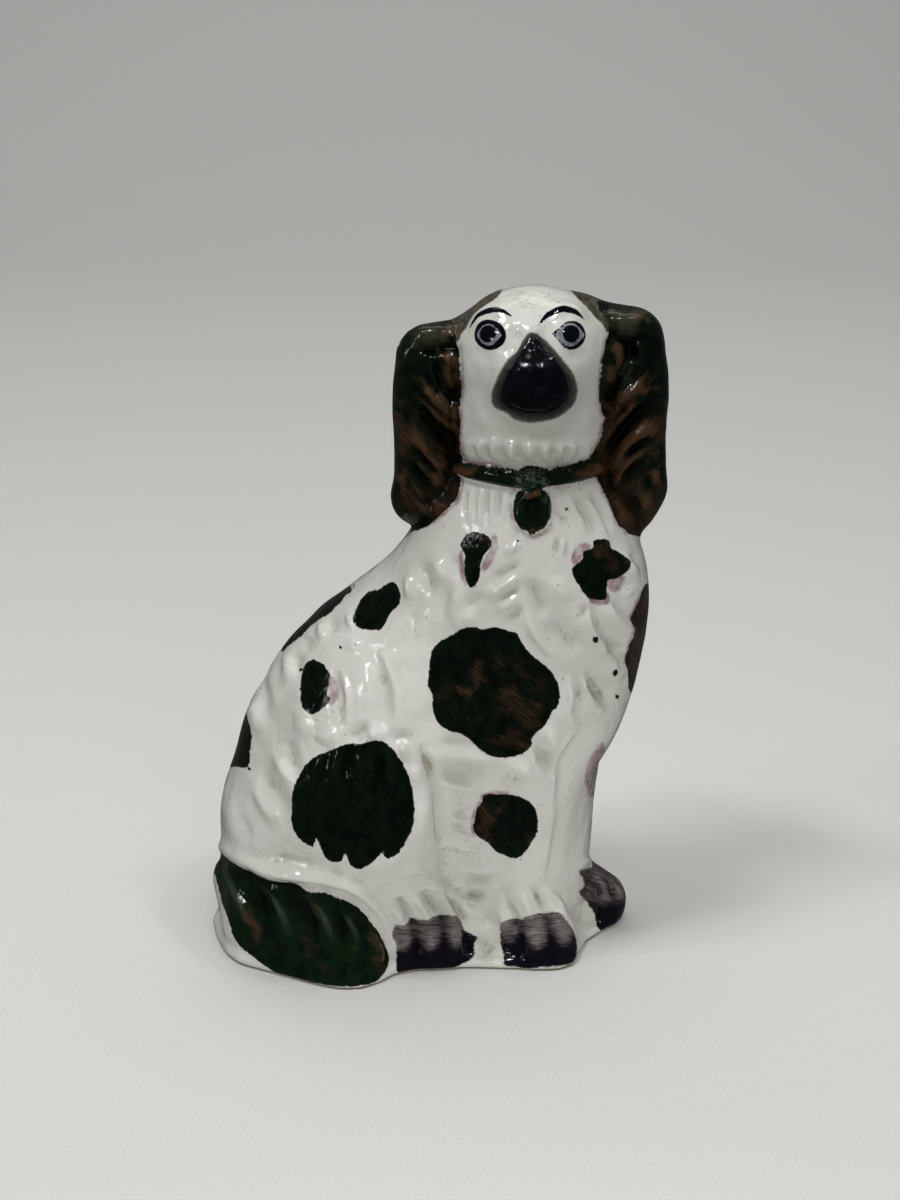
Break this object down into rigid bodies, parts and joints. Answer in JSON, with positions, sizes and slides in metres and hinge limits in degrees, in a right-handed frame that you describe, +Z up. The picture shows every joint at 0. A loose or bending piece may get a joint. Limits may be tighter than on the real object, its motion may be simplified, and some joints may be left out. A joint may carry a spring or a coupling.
{
  "type": "ceramic dog figurine",
  "caption": "Seated spaniel figurine, body in profile and head turned to the viewer, press-moulded hollow from two glazed half-shells closed by a base slab with a firing vent.",
  "frame": {"origin": "centre of the outline's bounding box, on the underside of the base slab", "axes": "+Z up; the face looks along -Y; the chest and fore paws are to +X and the rump to -X"},
  "size_m": [0.1358, 0.0731, 0.1994],
  "materials": {
    "white_glaze": "glossy lead glaze over white earthenware",
    "biscuit": "unglazed fired clay"
  },
  "bodies": {
    "root": {"front_half": "white_glaze", "back_half": "white_glaze", "base_slab": "biscuit", "seam_roll": "biscuit", "base_roll": "biscuit"}
  },
  "joints": []
}
